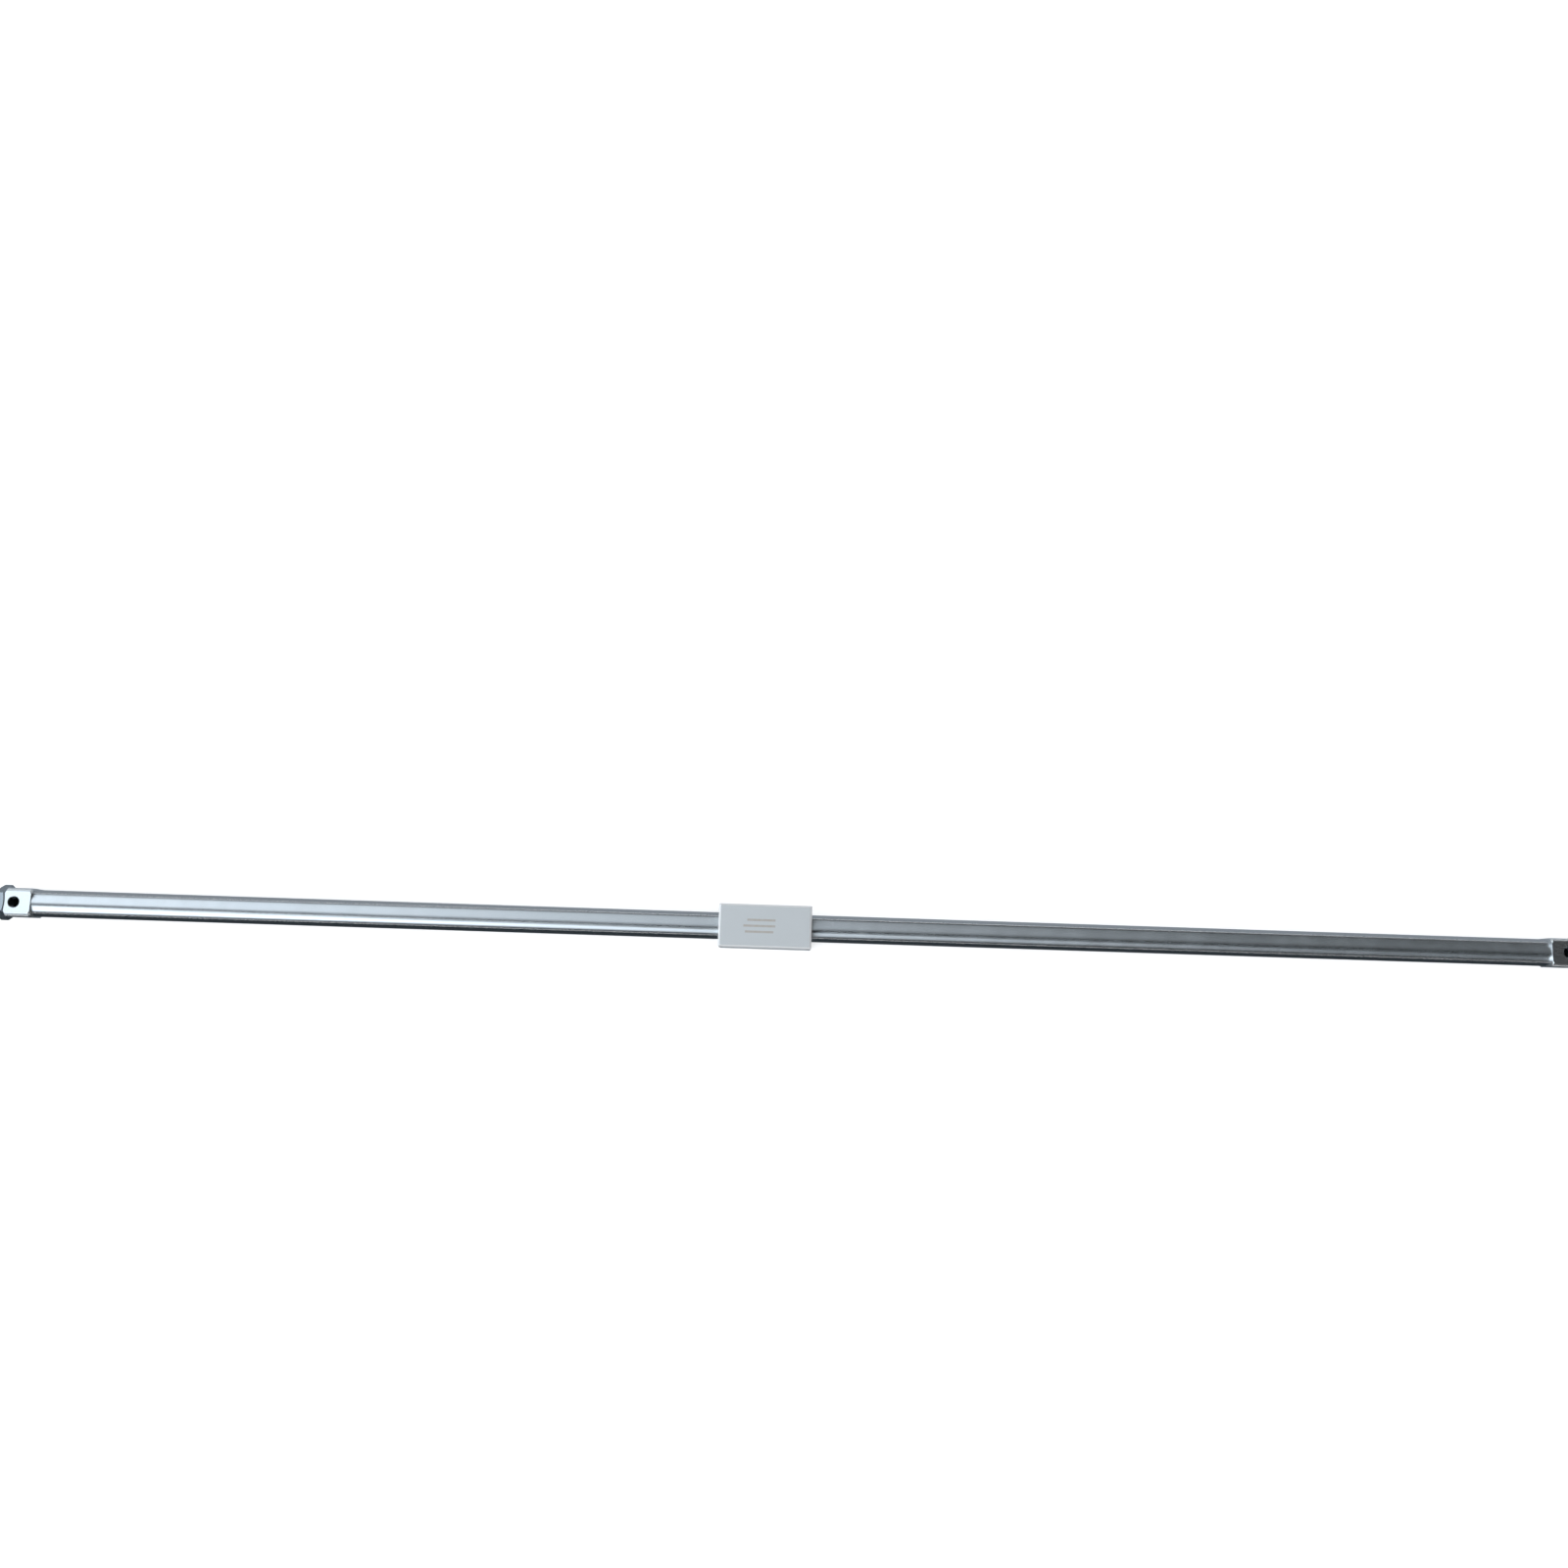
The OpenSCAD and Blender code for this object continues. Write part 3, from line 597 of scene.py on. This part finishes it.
FINISHES = {
    "polished_stainless": tube_finish(),
    "nickel_plate": worked_finish(
        "nickel_plate", (0.88, 0.90, 0.91), (0.95, 0.96, 0.97), 0.94, 0.2, "both",
        depth=0.0004 * MM, spread=0.02, haze=0.03, extra=paint_port_shade,
    ),
    "anodised_aluminium": worked_finish(
        "anodised_aluminium", (0.70, 0.74, 0.765), (0.93, 0.95, 0.96), 0.3, 0.45, "drawn",
        grain_size=0.16 * MM, depth=0.005 * MM, edge_width=0.4 * MM, spread=0.02, extra=block_print_and_highlight,
    ),
    "zinc_steel": worked_finish(
        "zinc_steel", (0.42, 0.45, 0.48), (0.66, 0.68, 0.70), 1.0, 0.28, "face", depth=0.002 * MM, spread=0.12
    ),
    "spring_steel": worked_finish(
        "spring_steel", (0.07, 0.07, 0.075), (0.32, 0.32, 0.33), 0.7, 0.45, "grain", edge_width=0.12 * MM
    ),
    "magnet": worked_finish("magnet", (0.34, 0.35, 0.37), (0.55, 0.56, 0.58), 1.0, 0.34, "grain"),
    "yoke_steel": worked_finish(
        "yoke_steel", (0.48, 0.45, 0.36), (0.62, 0.62, 0.62), 1.0, 0.36, "face", spread=0.1
    ),
    "oiled_resin": worked_finish(
        "oiled_resin", (0.62, 0.52, 0.27), (0.7, 0.62, 0.4), 0.0, 0.5, "grain", depth=0.02 * MM
    ),
    "wear_resin": worked_finish(
        "wear_resin", (0.055, 0.062, 0.055), (0.1, 0.11, 0.1), 0.0, 0.55, "grain", depth=0.01 * MM
    ),
    "black_rubber": worked_finish(
        "black_rubber", (0.02, 0.02, 0.021), (0.05, 0.05, 0.05), 0.0, 0.62, "grain", depth=0.01 * MM
    ),
    "plain_aluminium": worked_finish(
        "plain_aluminium", (0.72, 0.73, 0.74), (0.85, 0.86, 0.87), 1.0, 0.26, "face", depth=0.002 * MM
    ),
    "chromated_aluminium": worked_finish(
        "chromated_aluminium", (0.56, 0.45, 0.18), (0.72, 0.70, 0.62), 1.0, 0.32, "around", spread=0.15
    ),
    "urethane": worked_finish(
        "urethane", (0.46, 0.21, 0.045), (0.55, 0.3, 0.1), 0.0, 0.38, "grain", depth=0.008 * MM
    ),
}
SLOT_OF = {part["node"]: part["material_slot"] for part in frame["record"]["subparts"]}
BODY_OF = {node: body for body, nodes in frame["record"]["behaviour"]["bodies"].items() for node in nodes}


# ---- Pieces ----

def finished_piece(bm, name, body, slot):
    """Makes a piece of a bmesh, evenly shaded between its real edges, which rides on a body."""
    for face in bm.faces:
        face.smooth = True
    for edge in bm.edges:
        edge.smooth = len(edge.link_faces) == 2 and edge.calc_face_angle(0) < SHARP
    mesh = bpy.data.meshes.new(name)
    bm.to_mesh(mesh)
    bm.free()
    mesh.materials.append(FINISHES[slot])
    piece = bpy.data.objects.new(name, mesh)
    bpy.context.scene.collection.objects.link(piece)
    piece.modifiers.new("even_flats", "WEIGHTED_NORMAL").keep_sharp = True
    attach(piece, body)
    return piece


def stand_in(bm, node):
    """Makes a piece of a bmesh that stands for a CAD node."""
    piece = finished_piece(bm, node + "_piece", BODY_OF[node], SLOT_OF[node])
    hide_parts(node)


def merged_copy(node):
    """A bmesh of a CAD node with its corners merged and its flats whole."""
    bm = bmesh.new()
    bm.from_mesh(frame["nodes"][node].data)
    bmesh.ops.remove_doubles(bm, verts=bm.verts, dist=MERGE)
    bmesh.ops.dissolve_limit(bm, angle_limit=FLAT, verts=bm.verts, edges=bm.edges)
    return bm


def break_edges(bm, width):
    """Rounds the real edges."""
    edges = [edge for edge in bm.edges if len(edge.link_faces) == 2 and edge.calc_face_angle(0) > SHARP]
    bmesh.ops.bevel(
        bm, geom=edges, offset=width, offset_type="OFFSET", segments=2, profile=0.5, affect="EDGES",
        clamp_overlap=True, material=-1,
    )
    bmesh.ops.dissolve_degenerate(bm, dist=MERGE, edges=bm.edges)


def cut_off(bm, place, outward):
    """Cuts a solid at a plane, takes away what lies outward of it, and closes the cut."""
    cut = bmesh.ops.bisect_plane(
        bm, geom=bm.verts[:] + bm.edges[:] + bm.faces[:], dist=MERGE / 10, plane_co=place, plane_no=outward,
        clear_outer=True,
    )["geom_cut"]
    bmesh.ops.holes_fill(bm, edges=[item for item in cut if isinstance(item, bmesh.types.BMEdge)], sides=0)


def dress(node, edge):
    """A finely finished copy of a CAD node. An edge of 0 leaves its edges as they are."""
    bm = merged_copy(node)
    if edge:
        break_edges(bm, edge)
    stand_in(bm, node)


# ---- Threads ----

def thread_ridge(bm, wall, crest, low, high, pitch):
    """Adds a helical ridge about the Z axis, from the radius of the wall to that of the crest."""
    root = wall - math.copysign(THREAD_ROOT, crest - wall)
    turns = (high - low) / pitch - 1
    profile = [
        (root, THREAD_GAP), (crest, 0.5 - THREAD_CREST / 2), (crest, 0.5 + THREAD_CREST / 2),
        (root, 1 - THREAD_GAP),
    ]
    corners = [bm.verts.new((radius, 0, low + part * pitch)) for radius, part in profile]
    start = bm.faces.new(corners)
    steps = max(1, round(turns * THREAD_STEPS))
    bmesh.ops.spin(
        bm, geom=[start] + list(start.edges) + corners, cent=(0, 0, 0), axis=(0, 0, 1),
        dvec=(0, 0, pitch / THREAD_STEPS), angle=steps / THREAD_STEPS * math.tau, steps=steps,
        use_duplicate=False,
    )
    bmesh.ops.recalc_face_normals(bm, faces=bm.faces)


def fade_ridge(bm, wall, low, high, reach):
    """Lets a ridge about the Z axis run out into its wall at both ends."""
    for vert in bm.verts:
        radius = vert.co.xy.length
        inside = min(1.0, max(0.0, min(vert.co.z - low, high - vert.co.z) / reach))
        vert.co.xy *= (wall + (radius - wall) * inside) / radius


def port_thread(side):
    """Thread of an air port, from the bottom of the bore to the countersink."""
    bm = bmesh.new()
    thread_ridge(bm, PORT_R, PORT_R - PORT_DEPTH, PORT_LOW, PORT_HIGH, PORT_PITCH)
    fade_ridge(bm, PORT_R, PORT_LOW, PORT_HIGH, PORT_PITCH)
    bmesh.ops.translate(bm, verts=bm.verts, vec=(port_x(side), 0, 0))
    finished_piece(bm, side + "_port_thread", "cylinder", "nickel_plate")


def hole_threads():
    """Threads of the four workpiece holes in the underside of the slide block."""
    bm = bmesh.new()
    for along in (-HOLE_X, HOLE_X):
        for across in (-HOLE_Y, HOLE_Y):
            ridge = bmesh.new()
            thread_ridge(ridge, HOLE_R, HOLE_R - HOLE_DEPTH, HOLE_LOW, HOLE_HIGH, HOLE_PITCH)
            fade_ridge(ridge, HOLE_R, HOLE_LOW, HOLE_HIGH, HOLE_PITCH)
            bmesh.ops.translate(ridge, verts=ridge.verts, vec=(BLOCK_MIDDLE.x + along, across, 0))
            spare = bpy.data.meshes.new("workpiece_thread")
            ridge.to_mesh(spare)
            ridge.free()
            bm.from_mesh(spare)
            bpy.data.meshes.remove(spare)
    finished_piece(bm, "workpiece_threads", "slider", "anodised_aluminium")


def turned_solid(bm, outline):
    """Adds a solid of revolution about the Z axis from (radius, height) corners."""
    corners = [bm.verts.new((radius, 0, height)) for radius, height in outline]
    edges = [bm.edges.new(pair) for pair in zip(corners, corners[1:])]
    bmesh.ops.spin(
        bm, geom=corners + edges, cent=(0, 0, 0), axis=(0, 0, 1), angle=math.tau, steps=TURNED_STEPS,
        use_merge=True,
    )
    poles = [vert for vert in bm.verts if vert.co.xy.length < MERGE]
    bmesh.ops.remove_doubles(bm, verts=poles, dist=MERGE)
    bmesh.ops.recalc_face_normals(bm, faces=bm.faces)


def nose_thread(side):
    """The threaded end outside a mounting nut: a turned core and its ridge, both within the chamfer."""
    core = NOSE_R - NOSE_DEPTH
    chamfer_start = NOSE_END - NOSE_CHAMFER
    ridge_end = chamfer_start + NOSE_DEPTH
    bm = bmesh.new()
    thread_ridge(bm, core, NOSE_R, NOSE_START - NOSE_PITCH, NOSE_END + NOSE_PITCH, NOSE_PITCH)
    cut_off(bm, (0, 0, NOSE_START), (0, 0, -1))
    cut_off(bm, (0, 0, ridge_end), (0, 0, 1))
    for vert in bm.verts:
        radius = vert.co.xy.length
        vert.co.xy *= min(radius, NOSE_R - max(0.0, vert.co.z - chamfer_start)) / radius
    turned_solid(bm, [
        (0, NOSE_START - NOSE_OVERLAP), (core, NOSE_START - NOSE_OVERLAP), (core, ridge_end),
        (NOSE_R - NOSE_CHAMFER, NOSE_END), (0, NOSE_END),
    ])
    turn = Matrix.Rotation(math.radians(90 if side == "right" else -90), 4, "Y")
    bmesh.ops.transform(bm, matrix=turn, verts=bm.verts)
    finished_piece(bm, side + "_nose_thread", "cylinder", "nickel_plate")


def head_cover(side):
    """A head cover, without the part of its nose that the thread piece makes."""
    node = side + "_head_cover"
    bm = merged_copy(node)
    out = -1 if side == "left" else 1
    cut_off(bm, (out * NOSE_START, 0, 0), (out, 0, 0))
    break_edges(bm, COVER_EDGE)
    stand_in(bm, node)


# ---- The whole cylinder ----

EDGE_WIDTHS = {"slide_block": BLOCK_EDGE, "cylinder_tube": SMALL_EDGE}
for side in SIDES:
    EDGE_WIDTHS[side + "_mounting_nut"] = NUT_EDGE
    for part in ("piston_nut", "end_washer", "piston"):
        EDGE_WIDTHS[side + "_" + part] = SMALL_EDGE

bpy.context.scene.view_settings.view_transform = "Standard"
set_camera()
set_world()
set_lamps()
set_floor()
for side in SIDES:
    head_cover(side)
    nose_thread(side)
    port_thread(side)
hole_threads()
for node in sorted(frame["nodes"]):
    if not node.endswith("head_cover"):
        dress(node, EDGE_WIDTHS.get(node, 0))
